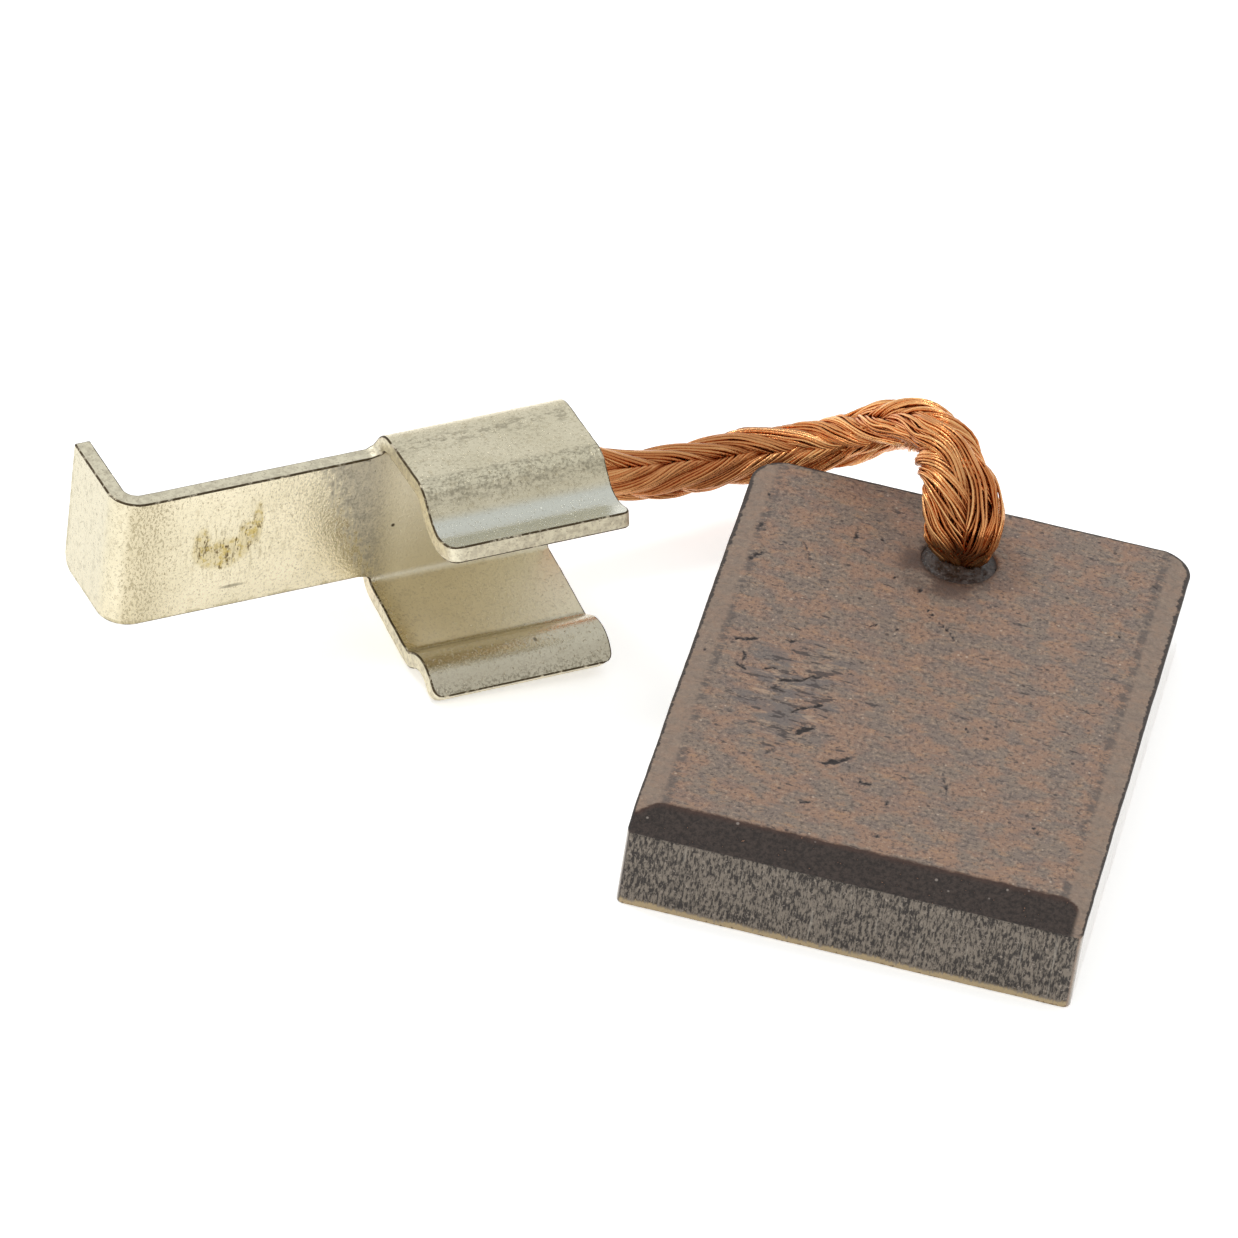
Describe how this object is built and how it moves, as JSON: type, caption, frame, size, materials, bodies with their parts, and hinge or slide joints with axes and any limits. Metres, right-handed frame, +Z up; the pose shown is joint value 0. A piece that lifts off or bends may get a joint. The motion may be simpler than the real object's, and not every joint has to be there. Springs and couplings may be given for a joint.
{
  "type": "carbon brush",
  "caption": "Flat copper-graphite motor brush with a plaited copper pigtail and a folded tinned spring-clip terminal.",
  "frame": {"origin": "middle of the block's underside, the large face that the block lies on", "axes": "+X across the block's width, away from the terminal; -Y toward the running face, along the block's length; +Z up out of the large face that the pigtail enters"},
  "size_m": [0.0479, 0.0313, 0.0101],
  "materials": {
    "brush_block": "matt pressed copper-graphite, rubbed smooth on the large faces",
    "tamped_compound": "packed dark contact powder",
    "copper_plait": "plaited fine bare copper wire",
    "welded_copper": "copper wires pressed flat and welded",
    "tinned_sheet": "tin-plated sheet, satin with a warm tint"
  },
  "bodies": {
    "root": {"block": "brush_block", "tamping": "tamped_compound", "pigtail": "copper_plait", "welded_end": "welded_copper", "terminal": "tinned_sheet"}
  },
  "joints": []
}
